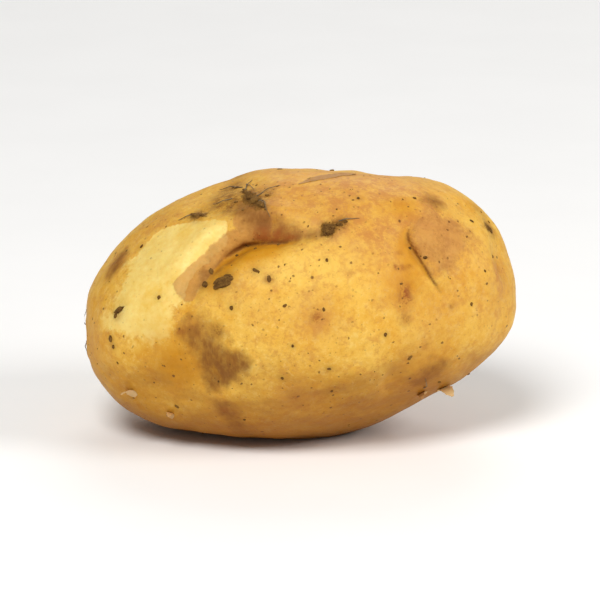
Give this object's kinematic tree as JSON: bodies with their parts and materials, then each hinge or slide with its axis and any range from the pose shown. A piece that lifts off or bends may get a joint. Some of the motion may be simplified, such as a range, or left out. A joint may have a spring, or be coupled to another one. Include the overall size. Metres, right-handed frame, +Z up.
{
  "type": "potato",
  "caption": "Whole raw potato tuber with thin golden skin, an overhanging brow over its main eye, smaller eyes all round and a small flattened spot that it rests on.",
  "frame": {"origin": "on the plane that the potato rests on, under the centre of its bounding box", "axes": "+X from the heel end, where the stolon broke off, to the rose end; -Y out of the front, which holds the main eye; +Z up from the resting spot"},
  "size_m": [0.0934, 0.064, 0.058],
  "materials": {
    "skin": "satin",
    "loose_skin": "matte",
    "soil": "matte",
    "rootlet": "matte"
  },
  "bodies": {
    "root": {"potato": "skin"}
  },
  "joints": []
}
